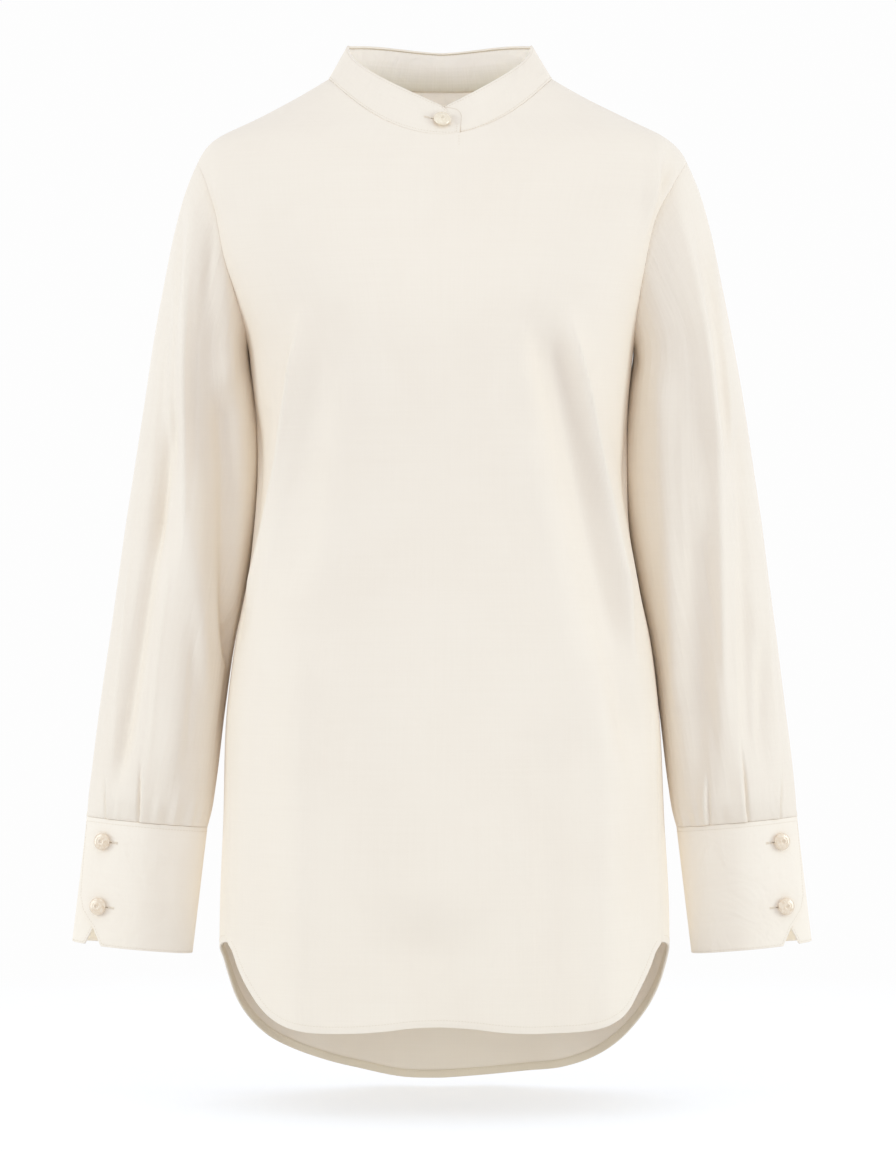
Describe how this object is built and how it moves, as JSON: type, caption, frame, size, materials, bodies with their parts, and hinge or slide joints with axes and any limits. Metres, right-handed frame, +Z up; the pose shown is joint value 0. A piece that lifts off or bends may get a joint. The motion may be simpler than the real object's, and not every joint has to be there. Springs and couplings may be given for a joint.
{
  "type": "shirt",
  "caption": "Long, loose women's shirt in poplin with a mandarin collar band, long set-in sleeves, deep buttoned cuffs and a shirttail hem.",
  "frame": {"origin": "midway between the two points where the shoulder seams meet the neckline, at the height of the wearer's shoulders beside the neck", "axes": "+Z up along the wearer's back, -Y towards the front of the shirt, +X towards the wearer's left side"},
  "size_m": [0.5904, 0.2464, 0.8438],
  "materials": {
    "poplin": "ivory cotton poplin, one layer",
    "band_poplin": "ivory cotton poplin, two layers with interlining",
    "pearl": "glossy pearl"
  },
  "bodies": {
    "root": {"front": "poplin", "back": "poplin", "sleeve_right": "poplin", "sleeve_left": "poplin", "cuff_right": "band_poplin", "cuff_left": "band_poplin", "collar_band": "band_poplin", "collar_button": "pearl", "cuff_button_right_upper": "pearl", "cuff_button_right_lower": "pearl", "cuff_button_left_upper": "pearl", "cuff_button_left_lower": "pearl"}
  },
  "joints": []
}
